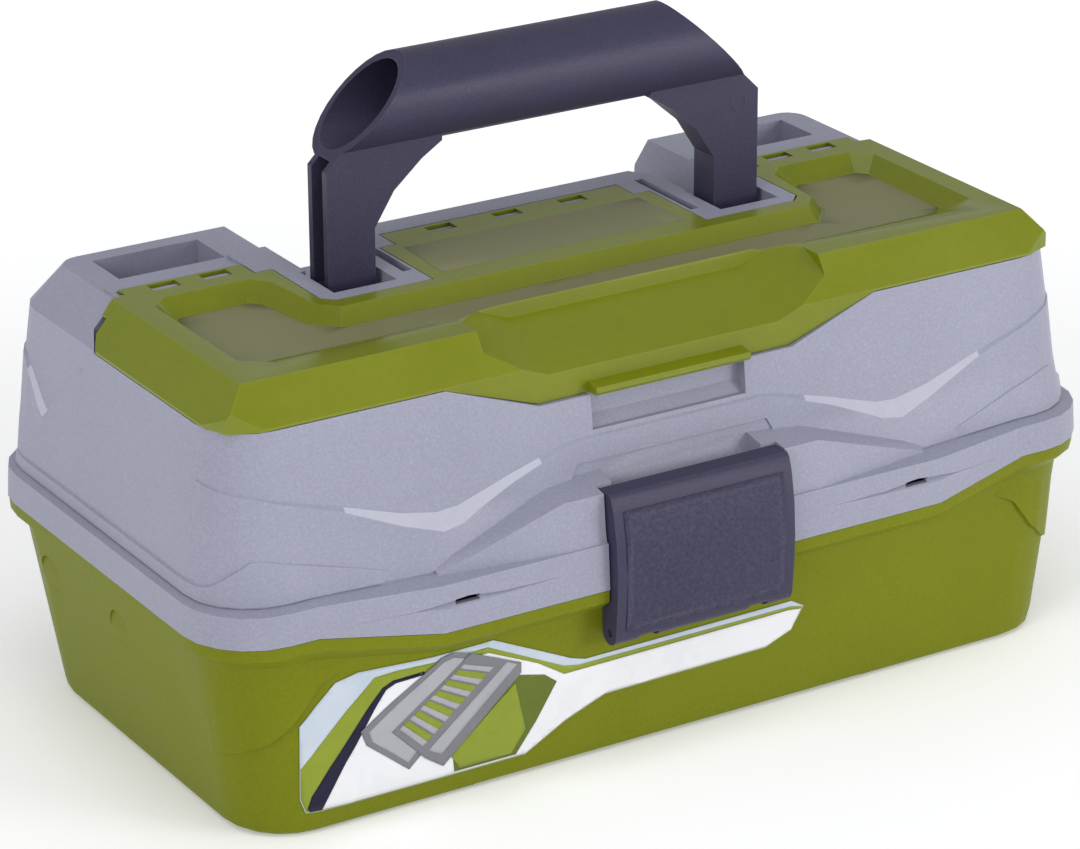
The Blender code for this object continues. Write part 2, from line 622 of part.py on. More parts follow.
# ---- access lid --------------------------------------------------------------------------------
def access_lid():
    """Cap over the storage bay with a bevelled front, a sunk channel and a finger tab."""
    outline = closed(access_outline())
    cap = prism("access_lid", outline, ACCESS_DROP_Z, LID_TOP_Z, look=GLOSS_GREEN)
    wedge = [(-200, 100), (-71.3, 100), (-71.3, 142.6), (-62.5, LID_TOP_Z), (-62.5, 200), (-200, 200)]
    cut(cap, prism("front_bevel", wedge, -200, 200, "X"))
    for side in (-1, 1):
        end = HALF - LID_EDGE_IN
        rows = []
        for y in (-200.0, 200.0):
            rows.append([
                (side * (end + 20), y, 100), (side * end, y, 100), (side * end, y, 142.6),
                (side * (end - 11.5), y, LID_TOP_Z), (side * (end - 11.5), y, 200), (side * (end + 20), y, 200),
            ])
        cut(cap, loft("end_bevel", rows))
    cut(cap, block("under", (-200, -64.0, 0), (200, 200, ACCESS_EDGE_Z)))
    lower = front_notch(ACCESS_DROP_Z)
    floor = block("floor", (-200, -200, 100), (200, -60, ACCESS_EDGE_Z))
    combine(floor, lower, "DIFFERENCE")
    cut(cap, floor)
    panel = [(-80, 138.9), (-71.3, 138.9), (-46.0, 150.9), (-46.0, 200), (-80, 200)]
    rows = []
    for x, spread in ((-68.0, 8.5), (-46.0, 0.0), (46.0, 0.0), (68.0, 8.5)):
        rows.append([(x, y, z + spread) for y, z in panel])
    cut(cap, loft("front_panel", rows))
    channel = [
        (0.0, -46.0), (52.0, -46.0), (70.0, -50.0), (136.0, -52.0), (146.5, -44.0),
        (146.5, 14.0), (140.0, 20.5), (108.0, 20.5), (102.5, 14.0), (100.0, -13.0), (94.0, -19.0), (0.0, -19.0),
    ]
    floor_plan = [
        (0.0, -44.0), (52.0, -42.0), (70.0, -38.0), (136.0, -38.0), (141.5, -34.0),
        (141.5, 10.0), (138.0, 14.0), (112.0, 14.0), (108.0, 10.0), (104.0, -14.0), (96.0, -22.5), (0.0, -22.5),
    ]
    rows = [
        [(x, y, CHANNEL_Z) for x, y in closed(floor_plan)],
        [(x, y, LID_TOP_Z) for x, y in closed(channel)],
        [(x, y, LID_TOP_Z + 10) for x, y in closed(channel)],
    ]
    cut(cap, loft("channel", rows))
    hollow_access(cap)
    tab = [(-69.5, 129.5), (-76.5, 129.9), (-77.4, 131.2), (-76.6, 132.6), (-71.0, 133.6), (-69.5, 133.6)]
    join(cap, prism("tab", tab, -30.7, 30.7, "X"))
    for x in slot_places():
        half = SLOT_W / 2
        cut(cap, block("slot", (x - half, 27.6, 140), (x + half, KNUCKLE_REAR_Y - 1.4, 170)))
        cut(cap, block("web_way", (x - half, ACCESS_HINGE_Y, 140), (x + half, KNUCKLE_REAR_Y + 2, ACCESS_HINGE_Z)))
    return cap


def hollow_access(cap):
    """Takes out the inside of the cap and frees its hinge edge from the bars."""
    t = ACCESS_T
    under = CHANNEL_Z - t
    inner = [
        (0.0, -71.3 + t), (148.0, -71.3 + t), (160.0, -60.0), (HALF - LID_EDGE_IN - t, -54.0),
        (HALF - LID_EDGE_IN - t, 17.0), (157.0, 22.0), (FRAME_OUT + t, 22.0), (FRAME_OUT + t, FRAME_FRONT_Y - t),
        (FRAME_IN - t, FRAME_FRONT_Y - t), (FRAME_IN - t, 22.0), (0.0, 22.0),
    ]
    low = [(x, y, 100.0) for x, y in closed(inner)]
    mid = [(x, y, 139.0) for x, y in closed(inner)]
    top_plan = [
        (0.0, -42.0), (136.0, -42.0), (143.0, -40.0), (148.0, -36.0), (150.0, 15.0), (149.0, 22.0),
        (FRAME_OUT + t, 22.0), (FRAME_OUT + t, FRAME_FRONT_Y - t), (FRAME_IN - t, FRAME_FRONT_Y - t),
        (FRAME_IN - t, 22.0), (0.0, 22.0),
    ]
    top = [(x, y, under) for x, y in closed(top_plan)]
    cut(cap, loft("inside", [low, mid, top]))
    hinge = circle(ACCESS_HINGE_Y, ACCESS_HINGE_Z, ACCESS_BAR_R + RUN, 12)
    cut(cap, prism("bar_room", hinge, -170, 170, "X"))
    cut(cap, block("rear_under", (-170, 24.5, 100), (170, 60, ACCESS_HINGE_Z - 2.6)))
    room = ACCESS_BAR_R + RUN - 0.2
    y = ACCESS_HINGE_Y
    cut(cap, block("bar_way", (-170, y - room, 100), (170, y + room, ACCESS_HINGE_Z)))


# ---- handle ------------------------------------------------------------------------------------
def handle():
    """Hollow grip with slanted open ends on two channel-section legs."""
    grip = rod("handle", GRIP_Y, GRIP_Z, GRIP_R, -LEG_OUT, LEG_OUT, SLATE, steps=28)
    leg_low = HANDLE_PIVOT_Y - LEG_DEPTH / 2
    leg_high = HANDLE_PIVOT_Y + LEG_DEPTH / 2
    for side in (-1, 1):
        low, high = sorted((side * LEG_IN, side * LEG_OUT))
        outline = circle(HANDLE_PIVOT_Y, HANDLE_PIVOT_Z, LEG_DEPTH / 2, 12, 180, 180)
        outline += [(leg_high, GRIP_Z), (leg_low, GRIP_Z)]
        join(grip, prism("leg", outline, low, high, "X"))
        rows = []
        for y in (leg_low, leg_high):
            rows.append([
                (side * (LEG_IN + 1), y, 172.0), (side * LEG_IN, y, 172.0), (side * 61.0, y, 184.0),
                (side * 50.0, y, 193.5), (side * 42.0, y, 198.5), (side * 42.0, y, 206.0), (side * (LEG_IN + 1), y, 206.0),
            ])
        join(grip, loft("gusset", rows))
    cut(grip, rod("bore", GRIP_Y, GRIP_Z, GRIP_R - GRIP_T, -LEG_OUT - 5, LEG_OUT + 5, steps=28))
    for side in (-1, 1):
        low, high = sorted((side * (LEG_IN + LEG_WALL), side * (LEG_OUT + 5)))
        slot_y = (leg_low + LEG_WALL, leg_high - LEG_WALL)
        top = GRIP_Z - GRIP_R + 0.5
        cut(grip, block("channel", (low, slot_y[0], HANDLE_PIVOT_Z + 8), (high, slot_y[1], top)))
        rows = []
        for y in (-60.0, 60.0):
            rows.append([
                (side * 52.4, y, GRIP_Z + GRIP_R), (side * 52.4, y, GRIP_Z + 60),
                (side * 120, y, GRIP_Z + 60), (side * 120, y, GRIP_Z + GRIP_R - 67.6),
            ])
        cut(grip, loft("slant", rows))
        low, high = sorted((side * 60.0, side * 95.0))
        cut(grip, rod("pin_hole", HANDLE_PIVOT_Y, HANDLE_PIVOT_Z, HANDLE_PIN_R + RUN, low, high, steps=16))
    return grip


# ---- latch -------------------------------------------------------------------------------------
def latch():
    """Bulged cover with a hook flange on top, side walls and a hinge barrel along its foot."""
    y, z, r = LATCH_PIN_Y, LATCH_PIN_Z, LATCH_BARREL_R
    t = LATCH_T
    outer = [(y - r, z), (-97.6, 60.0), (-98.0, 72.0), (-97.2, 84.0), (-95.2, 95.0), (-93.6, 99.4), (-92.2, LATCH_TOP_Z)]
    inner = [(-92.0, 95.0), (-94.4, 84.0), (-95.4, 72.0), (-95.0, 60.0)]
    outline = circle(y, z, r, 16, -180, 225)
    profile = outer + [(LATCH_BACK_Y, LATCH_TOP_Z), (LATCH_BACK_Y, LATCH_TOP_Z - t), (-91.4, LATCH_TOP_Z - t)]
    profile += inner + list(reversed(outline))[:-1]
    cover = prism("latch", profile, -LATCH_HALF, LATCH_HALF, "X", SLATE)
    side_wall = outer + [(LATCH_BACK_Y, LATCH_TOP_Z), (LATCH_BACK_Y, 94.0), (y + r, 86.0), (y + r, z)]
    for side in (-1, 1):
        low, high = sorted((side * (LATCH_HALF - t), side * LATCH_HALF))
        join(cover, prism("cheek", side_wall, low, high, "X"))
        low = side * LUG_X - LUG_W / 2 - 0.4
        high = side * LUG_X + LUG_W / 2 + 0.4
        cut(cover, rod("lug_room", y, z, LUG_R + RUN, low, high, steps=20))
        cut(cover, block("lug_way", (low, y, z - 8), (high, y + 12, z + LUG_R + RUN)))
        cut(cover, block("lug_swing", (low, y - LUG_R - 1.2, z - 8), (high, y + 12, z)))
    cut(cover, rod("pin_hole", y, z, LATCH_PIN_R + RUN, -60, 60, steps=12))
    return cover


# ---- tray, arms and rivets ---------------------------------------------------------------------
def tray_pivot(which, lift_deg=0.0):
    """(y, z) of the pivot where an arm carries the tray."""
    turn = math.radians(ARM_REST_DEG + lift_deg)
    return ARM_BASE_Y[which] - ARM_LENGTH * math.cos(turn), ARM_BASE_Z + ARM_LENGTH * math.sin(turn)


def arm(side, which):
    """Flat link from the base's end wall to the tray's end."""
    y0, z0 = ARM_BASE_Y[which], ARM_BASE_Z
    y1, z1 = tray_pivot(which)
    turn = math.degrees(math.atan2(z1 - z0, y1 - y0))
    outline = circle(y1, z1, ARM_R, 10, turn - 90, 180) + circle(y0, z0, ARM_R, 10, turn + 90, 180)
    low, high = sorted((side * ARM_IN, side * (ARM_IN + ARM_T)))
    name = f"arm_{which}_{'right' if side > 0 else 'left'}"
    link = prism(name, outline, low, high, "X", GREEN)
    for y, z in ((y0, z0), (y1, z1)):
        cut(link, rod("hole", y, z, RIVET_R + RUN, low - 5, high + 5, steps=16))
    return link


def rivet(side, which, at_tray):
    """Shouldered rivet: head on one face of the arm, shank through it into the boss behind."""
    end = "tray" if at_tray else "base"
    name = f"rivet_{end}_{which}_{'right' if side > 0 else 'left'}"
    if at_tray:
        y, z = tray_pivot(which)
        head = (ARM_IN + ARM_T + GAP, ARM_IN + ARM_T + GAP + RIVET_HEAD_T)
        shank = (TRAY_HALF - 2.6, head[1])
    else:
        y, z = ARM_BASE_Y[which], ARM_BASE_Z
        head = (ARM_IN - GAP - RIVET_HEAD_T, ARM_IN - GAP)
        shank = (head[0], 168.6)
    low, high = sorted((side * shank[0], side * shank[1]))
    pin = rod(name, y, z, RIVET_R, low, high, PALE, steps=14)
    low, high = sorted((side * head[0], side * head[1]))
    join(pin, rod("head", y, z, RIVET_HEAD_R, low, high, steps=18))
    return pin


def divider_places():
    """X of the dividers, evenly spaced between the tray's ends."""
    inside = 2 * (TRAY_HALF - TRAY_WALL)
    pitch = inside / (DIVIDERS + 1)
    return [-inside / 2 + pitch * (i + 1) for i in range(DIVIDERS)]


def tray():
    """Tray with a row of bays behind and one long trough in front."""
    wall = TRAY_WALL
    half, front, rear = TRAY_HALF, TRAY_FRONT_Y, TRAY_REAR_Y
    low, top = TRAY_Z, TRAY_Z + TRAY_H
    body = block("tray", (-half, front, low), (half, rear, top), PALE)
    split = front + wall + TROUGH_WIDTH
    cut(body, block("trough", (-half + wall, front + wall, low + wall), (half - wall, split, 200)))
    cut(body, block("row", (-half + wall, split + wall, low + wall), (half - wall, rear - wall, 200)))
    for x in divider_places():
        rib = DIVIDER_RIB
        slot = DIVIDER_T / 2 + GAP
        for y0, y1 in ((split + wall - 0.5, split + wall + rib), (rear - wall - rib, rear - wall + 0.5)):
            join(body, block("rib", (x - 3.4, y0, low + 1), (x + 3.4, y1, top - 3)))
        for y0, y1 in ((split + wall, split + wall + rib + 1), (rear - wall - rib - 1, rear - wall)):
            cut(body, block("slot", (x - slot, y0, low + wall), (x + slot, y1, 200)))
    for side in (-1, 1):
        for which in ARM_BASE_Y:
            y, z = tray_pivot(which)
            a, b = sorted((side * (half - 4.6), side * (ARM_IN - GAP)))
            join(body, rod("boss", y, z, ARM_R - 0.6, a, b, steps=16))
            a, b = sorted((side * (half - 3.2), side * (half + 20)))
            cut(body, rod("hole", y, z, RIVET_R + GAP, a, b, steps=12))
    return body


def divider(index, x):
    """Loose plate that drops into a pair of slots."""
    split = TRAY_FRONT_Y + 2 * TRAY_WALL + TROUGH_WIDTH
    rear = TRAY_REAR_Y - TRAY_WALL
    low = (x - DIVIDER_T / 2, split + GAP, TRAY_Z + TRAY_WALL + GAP)
    high = (x + DIVIDER_T / 2, rear - GAP, TRAY_Z + TRAY_H - 2.0)
    return block(f"divider_{index}", low, high, GREEN)


# ---- small pieces ------------------------------------------------------------------------------
def rear_hinge_pin(side):
    """Steel pin through one rear hinge."""
    spans = knuckle_spans(side * HINGE_X)
    name = f"hinge_pin_{'right' if side > 0 else 'left'}"
    return rod(name, HINGE_Y, HINGE_Z, HINGE_PIN_R, spans[0][0] + 1, spans[2][1] - 1, STEEL, steps=12)


def latch_pin():
    """Pin through the base's lugs and the latch's barrel."""
    return rod("latch_pin", LATCH_PIN_Y, LATCH_PIN_Z, LATCH_PIN_R, -34.5, 34.5, STEEL, steps=12)


def handle_pin(side):
    """Pin through one handle leg into both sides of its socket."""
    name = f"handle_pin_{'right' if side > 0 else 'left'}"
    low, high = sorted((side * 63.0, side * 92.5))
    return rod(name, HANDLE_PIVOT_Y, HANDLE_PIVOT_Z, HANDLE_PIN_R, low, high, STEEL, steps=14)


def lid_bracket(side):
    """Plate inside the lid's end wall that the arm linkage pulls on."""
    name = f"lid_bracket_{'right' if side > 0 else 'left'}"
    low, high = sorted((side * BRACKET_X, side * (BRACKET_X + BRACKET_T)))
    plate = prism(name, [(30, 92), (52, 92), (48, 112), (34, 112)], low, high, "X", PALE)
    inner, outer = sorted((side * (BRACKET_X - 3.0), side * (BRACKET_X + 1.0)))
    join(plate, rod("stud", 41.0, 99.0, 3.0, inner, outer, steps=14))
    return plate


# ---- assembly ----------------------------------------------------------------------------------
def build():
    """Makes every piece and hangs the moving ones on their axes."""
    for old in list(bpy.data.objects):
        bpy.data.objects.remove(old)
    base_tub()
    front_label()
    latch_pin()
    for side in (-1, 1):
        rear_hinge_pin(side)

    lid_axis = axis_empty("lid_axis", HINGE_Y, HINGE_Z)
    hang(lid_axis, lid_shell(), *[handle_pin(side) for side in (-1, 1)], *[lid_bracket(side) for side in (-1, 1)])
    access_axis = axis_empty("access_axis", ACCESS_HINGE_Y, ACCESS_HINGE_Z, lid_axis)
    hang(access_axis, access_lid())
    handle_axis = axis_empty("handle_axis", HANDLE_PIVOT_Y, HANDLE_PIVOT_Z, lid_axis)
    hang(handle_axis, handle())
    latch_axis = axis_empty("latch_axis", LATCH_PIN_Y, LATCH_PIN_Z)
    hang(latch_axis, latch())

    axes = {which: axis_empty(f"arm_axis_{which}", y, ARM_BASE_Z) for which, y in ARM_BASE_Y.items()}
    for which, axis in axes.items():
        for side in (-1, 1):
            hang(axis, arm(side, which))
            rivet(side, which, False)
    tray_axis = axis_empty("tray_axis", *tray_pivot("rear"), axes["rear"])
    hang(tray_axis, tray())
    for index, x in enumerate(divider_places(), 1):
        hang(tray_axis, divider(index, x))
    for which in ARM_BASE_Y:
        for side in (-1, 1):
            hang(tray_axis, rivet(side, which, True))


build()
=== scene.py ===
"""Looks of a one-tray fishing tackle box.

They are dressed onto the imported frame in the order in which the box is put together.
"""

import math

import bmesh
import bpy
from mathutils import Matrix, Vector
from mathutils.bvhtree import BVHTree


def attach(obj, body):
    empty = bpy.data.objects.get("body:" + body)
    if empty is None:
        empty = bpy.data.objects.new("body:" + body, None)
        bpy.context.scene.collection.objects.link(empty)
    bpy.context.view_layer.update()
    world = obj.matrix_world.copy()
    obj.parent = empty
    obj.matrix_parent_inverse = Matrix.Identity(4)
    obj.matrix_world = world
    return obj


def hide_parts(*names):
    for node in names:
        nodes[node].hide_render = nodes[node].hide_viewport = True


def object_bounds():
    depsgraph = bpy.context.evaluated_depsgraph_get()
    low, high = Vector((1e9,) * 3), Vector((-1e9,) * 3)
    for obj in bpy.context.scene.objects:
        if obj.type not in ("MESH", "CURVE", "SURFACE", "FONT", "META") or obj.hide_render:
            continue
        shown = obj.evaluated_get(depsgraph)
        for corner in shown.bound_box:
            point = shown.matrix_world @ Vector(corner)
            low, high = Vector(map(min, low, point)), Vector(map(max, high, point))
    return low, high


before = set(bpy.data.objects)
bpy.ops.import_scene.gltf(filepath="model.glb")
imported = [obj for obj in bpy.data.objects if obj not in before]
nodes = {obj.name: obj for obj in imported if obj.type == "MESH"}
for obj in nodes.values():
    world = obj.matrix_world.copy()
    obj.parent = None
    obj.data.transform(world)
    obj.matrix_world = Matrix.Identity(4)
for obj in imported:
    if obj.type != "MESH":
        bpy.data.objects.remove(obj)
cad_low, cad_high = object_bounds()
MM = 0.001

# ---- base tub ------------------------------------------------------------------------------------
# The lower half of the box: one thick-walled polypropylene moulding in olive green. It comes out of
# a lightly blasted tool, so it is satin with a fine even grain and faint flow clouds.


def grain_group():
    """Fine tool grain and broad flow clouds of a moulded plastic."""
    group = bpy.data.node_groups.new("moulded_grain", "ShaderNodeTree")
    face = group.interface
    for name, kind, side in (
        ("Fineness", "NodeSocketFloat", "INPUT"),
        ("Cloud Scale", "NodeSocketFloat", "INPUT"),
        ("Grain", "NodeSocketFloat", "OUTPUT"),
        ("Cloud", "NodeSocketFloat", "OUTPUT"),
    ):
        face.new_socket(name, in_out=side, socket_type=kind)
    tree, link = group.nodes, group.links.new
    start, end = tree.new("NodeGroupInput"), tree.new("NodeGroupOutput")
    place = tree.new("ShaderNodeTexCoord")
    fine = tree.new("ShaderNodeTexNoise")
    fine.inputs["Detail"].default_value = 3.0
    fine.inputs["Roughness"].default_value = 0.6
    pits = tree.new("ShaderNodeTexVoronoi")
    pits.feature = "SMOOTH_F1"
    cloud = tree.new("ShaderNodeTexNoise")
    cloud.inputs["Detail"].default_value = 4.0
    cloud.inputs["Distortion"].default_value = 0.6
    both = tree.new("ShaderNodeMath")
    both.operation = "ADD"
    for texture in (fine, pits, cloud):
        link(place.outputs["Object"], texture.inputs["Vector"])
    link(start.outputs["Fineness"], fine.inputs["Scale"])
    link(start.outputs["Fineness"], pits.inputs["Scale"])
    link(start.outputs["Cloud Scale"], cloud.inputs["Scale"])
    link(fine.outputs["Fac"], both.inputs[0])
    link(pits.outputs["Distance"], both.inputs[1])
    link(both.outputs[0], end.inputs["Grain"])
    link(cloud.outputs["Fac"], end.inputs["Cloud"])
    return group


def rub_group():
    """Mask of edges that hands and table tops have rubbed, broken up by noise."""
    group = bpy.data.node_groups.new("rubbed_edges", "ShaderNodeTree")
    face = group.interface
    face.new_socket("Width", in_out="INPUT", socket_type="NodeSocketFloat")
    face.new_socket("Amount", in_out="INPUT", socket_type="NodeSocketFloat")
    face.new_socket("Rub", in_out="OUTPUT", socket_type="NodeSocketFloat")
    tree, link = group.nodes, group.links.new
    start, end = tree.new("NodeGroupInput"), tree.new("NodeGroupOutput")
    rounded = tree.new("ShaderNodeBevel")
    rounded.samples = 2
    shape = tree.new("ShaderNodeNewGeometry")
    along = tree.new("ShaderNodeVectorMath")
    along.operation = "DOT_PRODUCT"
    sharp = tree.new("ShaderNodeMapRange")
    sharp.inputs["From Min"].default_value = 1.0
    sharp.inputs["From Max"].default_value = FULLY_ROUNDED
    place = tree.new("ShaderNodeTexCoord")
    breakup = tree.new("ShaderNodeTexNoise")
    breakup.inputs["Scale"].default_value = RUB_PATCHES
    patchy = tree.new("ShaderNodeMath")
    patchy.operation = "MULTIPLY"
    scaled = tree.new("ShaderNodeMath")
    scaled.operation = "MULTIPLY"
    link(start.outputs["Width"], rounded.inputs["Radius"])
    link(rounded.outputs["Normal"], along.inputs[0])
    link(shape.outputs["Normal"], along.inputs[1])
    link(along.outputs["Value"], sharp.inputs["Value"])
    link(place.outputs["Object"], breakup.inputs["Vector"])
    link(sharp.outputs["Result"], patchy.inputs[0])
    link(breakup.outputs["Fac"], patchy.inputs[1])
    link(patchy.outputs[0], scaled.inputs[0])
    link(start.outputs["Amount"], scaled.inputs[1])
    link(scaled.outputs[0], end.inputs["Rub"])
    return group


# The mean of the grain group's Grain output keeps a speckled colour centred on its clouds.
MOULDED_GRAIN = grain_group()
GRAIN_MEAN = 0.95
CLOUD_LOW, CLOUD_HIGH = 0.35, 0.65

# Patches to the metre in the rubbing, and the cosine at which an edge counts as wholly rounded.
RUB_PATCHES = 160.0
FULLY_ROUNDED = 0.86
RUBBED_EDGES = rub_group()
RUB_WIDTH = 0.7


def plastic(
    name, dark, light, rubbed, fineness, depth, gloss, cloud_scale=14.0, rub=0.5, shine=0.22, speckle=0.35
):
    """A moulded plastic: clouds between dark and light, grain as bump, paler where edges are rubbed.

    Fineness is in grains to the metre, depth in millimetres, and gloss is the roughness from smooth to dull.
    """
    material = bpy.data.materials.new(name)
    material.use_nodes = True
    tree, link = material.node_tree.nodes, material.node_tree.links.new
    shader = tree["Principled BSDF"]
    shader.inputs["Specular IOR Level"].default_value = shine
    grain = tree.new("ShaderNodeGroup")
    grain.node_tree = MOULDED_GRAIN
    grain.inputs["Fineness"].default_value = fineness
    grain.inputs["Cloud Scale"].default_value = cloud_scale
    edges = tree.new("ShaderNodeGroup")
    edges.node_tree = RUBBED_EDGES
    edges.inputs["Width"].default_value = RUB_WIDTH * MM
    edges.inputs["Amount"].default_value = rub
    colour = tree.new("ShaderNodeMix")
    colour.data_type = "RGBA"
    colour.inputs["A"].default_value = (*dark, 1)
    colour.inputs["B"].default_value = (*light, 1)
    worn = tree.new("ShaderNodeMix")
    worn.data_type = "RGBA"
    worn.inputs["B"].default_value = (*rubbed, 1)
    rough = tree.new("ShaderNodeMapRange")
    rough.inputs["From Min"].default_value = CLOUD_LOW
    rough.inputs["From Max"].default_value = CLOUD_HIGH
    rough.inputs["To Min"].default_value = gloss[0]
    rough.inputs["To Max"].default_value = gloss[1]
    bump = tree.new("ShaderNodeBump")
    bump.inputs["Strength"].default_value = 0.5
    bump.inputs["Distance"].default_value = depth * MM
    tone = tree.new("ShaderNodeMath")
    tone.operation = "MULTIPLY_ADD"
    tone.inputs[1].default_value = speckle
    centred = tree.new("ShaderNodeMath")
    centred.operation = "SUBTRACT"
    centred.inputs[1].default_value = speckle * GRAIN_MEAN
    link(grain.outputs["Grain"], tone.inputs[0])
    link(grain.outputs["Cloud"], tone.inputs[2])
    link(tone.outputs[0], centred.inputs[0])
    link(centred.outputs[0], colour.inputs["Factor"])
    link(colour.outputs["Result"], worn.inputs["A"])
    link(edges.outputs["Rub"], worn.inputs["Factor"])
    link(worn.outputs["Result"], shader.inputs["Base Color"])
    link(grain.outputs["Cloud"], rough.inputs["Value"])
    link(rough.outputs["Result"], shader.inputs["Roughness"])
    link(grain.outputs["Grain"], bump.inputs["Height"])
    link(bump.outputs["Normal"], shader.inputs["Normal"])
    return material


SOFT_ANGLE = 32
EDGE_ANGLE = 30
WELD_GAP = 0.002


def smoothing():
    """Modifier tree that shades a mesh soft wherever its faces nearly agree."""
    tree = bpy.data.node_groups.new("smooth_where_soft", "GeometryNodeTree")
    tree.interface.new_socket("Geometry", in_out="INPUT", socket_type="NodeSocketGeometry")
    tree.interface.new_socket("Geometry", in_out="OUTPUT", socket_type="NodeSocketGeometry")
    add, link = tree.nodes.new, tree.links.new
    start, end = add("NodeGroupInput"), add("NodeGroupOutput")
    faces = add("GeometryNodeSetShadeSmooth")
    edges = add("GeometryNodeSetShadeSmooth")
    edges.domain = "EDGE"
    angle = add("GeometryNodeInputMeshEdgeAngle")
    soft = add("FunctionNodeCompare")
    soft.operation = "LESS_THAN"
    soft.inputs["B"].default_value = math.radians(SOFT_ANGLE)
    link(start.outputs[0], faces.inputs["Geometry"])
    link(faces.outputs[0], edges.inputs["Geometry"])
    link(angle.outputs["Unsigned Angle"], soft.inputs["A"])
    link(soft.outputs[0], edges.inputs["Shade Smooth"])
    link(edges.outputs[0], end.inputs[0])
    return tree


SMOOTHING = smoothing()


def soften(piece, radius):
    """Closes the mesh, rounds its hard edges to the moulding radius and smooths its shading."""
    stored = piece.data.attributes.get("custom_normal")
    if stored:
        piece.data.attributes.remove(stored)
    weld = piece.modifiers.new("weld", "WELD")
    weld.merge_threshold = WELD_GAP * MM
    bevel = piece.modifiers.new("edge radius", "BEVEL")
    bevel.width = radius * MM
    bevel.segments = 2
    bevel.limit_method = "ANGLE"
    bevel.angle_limit = math.radians(EDGE_ANGLE)
    bevel.use_clamp_overlap = True
    shade = piece.modifiers.new("smooth", "NODES")
    shade.node_group = SMOOTHING
    flats = piece.modifiers.new("flats stay flat", "WEIGHTED_NORMAL")
    flats.keep_sharp = True


def dress(name, material, radius):
    """Gives a CAD node its material and its moulding radius in millimetres."""
    piece = nodes[name]
    piece.data.materials.clear()
    piece.data.materials.append(material)
    soften(piece, radius)


OLIVE_DARK = (0.150, 0.170, 0.005)
OLIVE_LIGHT = (0.188, 0.210, 0.008)
OLIVE_RUBBED = (0.26, 0.285, 0.04)
base_green = plastic(
    "base green", OLIVE_DARK, OLIVE_LIGHT, OLIVE_RUBBED,
    fineness=900.0, depth=0.05, gloss=(0.36, 0.46), shine=0.1, speckle=0.7,
)
dress("base_tub", base_green, 0.6)

# ---- hinge, latch and handle pins ------------------------------------------------------------------
# Drawn steel wire cut to length and pressed into the knuckles and sockets. The wire is bright, with
# fine lengthwise drawing lines.


LINES_PER_METRE = (40, 4000, 4000)
WIRE_GLOSS = (0.22, 0.42)


def drawn_steel():
    """Steel wire with drawing lines along X."""
    material = bpy.data.materials.new("drawn steel")
    material.use_nodes = True
    tree, link = material.node_tree.nodes, material.node_tree.links.new
    shader = tree["Principled BSDF"]
    shader.inputs["Metallic"].default_value = 1.0
    place = tree.new("ShaderNodeTexCoord")
    stretch = tree.new("ShaderNodeMapping")
    stretch.inputs["Scale"].default_value = LINES_PER_METRE
    lines = tree.new("ShaderNodeTexNoise")
    lines.inputs["Scale"].default_value = 1.0
    tone = tree.new("ShaderNodeValToRGB")
    tone.color_ramp.elements[0].color = (0.42, 0.42, 0.43, 1)
    tone.color_ramp.elements[1].color = (0.66, 0.66, 0.67, 1)
    rough = tree.new("ShaderNodeMapRange")
    rough.inputs["To Min"].default_value = WIRE_GLOSS[0]
    rough.inputs["To Max"].default_value = WIRE_GLOSS[1]
    bump = tree.new("ShaderNodeBump")
    bump.inputs["Distance"].default_value = 0.01 * MM
    link(place.outputs["Object"], stretch.inputs["Vector"])
    link(stretch.outputs["Vector"], lines.inputs["Vector"])
    link(lines.outputs["Fac"], tone.inputs["Fac"])
    link(tone.outputs["Color"], shader.inputs["Base Color"])
    link(lines.outputs["Fac"], rough.inputs["Value"])
    link(rough.outputs["Result"], shader.inputs["Roughness"])
    link(lines.outputs["Fac"], bump.inputs["Height"])
    link(bump.outputs["Normal"], shader.inputs["Normal"])
    return material


wire = drawn_steel()
for pin_name in ("latch_pin", "hinge_pin_left", "hinge_pin_right", "handle_pin_left", "handle_pin_right"):
    dress(pin_name, wire, 0.15)

# ---- front label -------------------------------------------------------------------------------------
# A die-cut vinyl film stuck to the left of the base's front wall: a silver band, a green band, a
# navy line and a white field with a plain picture of an open tray. All names are left off.

FILM_OFF = 0.30
LAYER = 0.11
INK_THICKNESS = 0.05
INK_GLOSS_SPREAD = 0.08
LABEL_STEP = 2.0
FAR_FRONT = -0.2


def skin(name):
    """Search tree over a CAD node's faces."""
    return BVHTree.FromObject(nodes[name], bpy.context.evaluated_depsgraph_get())


BASE_SKIN = skin("base_tub")


def colour_ink(name, dark, light, rough):
    """Printed ink: nearly even, with the faint dots and clouds of the print."""
    gloss = (rough, rough + INK_GLOSS_SPREAD)
    return plastic(
        name, dark, light, light,
        fineness=1800.0, depth=0.006, gloss=gloss, cloud_scale=60.0, rub=0.0, speckle=0.0,
    )


def span_steps(low, high, step):
    """Evenly spaced values strictly between low and high."""
    count = int((high - low) / step)
    return [low + (high - low) * (i + 1) / (count + 1) for i in range(count)]


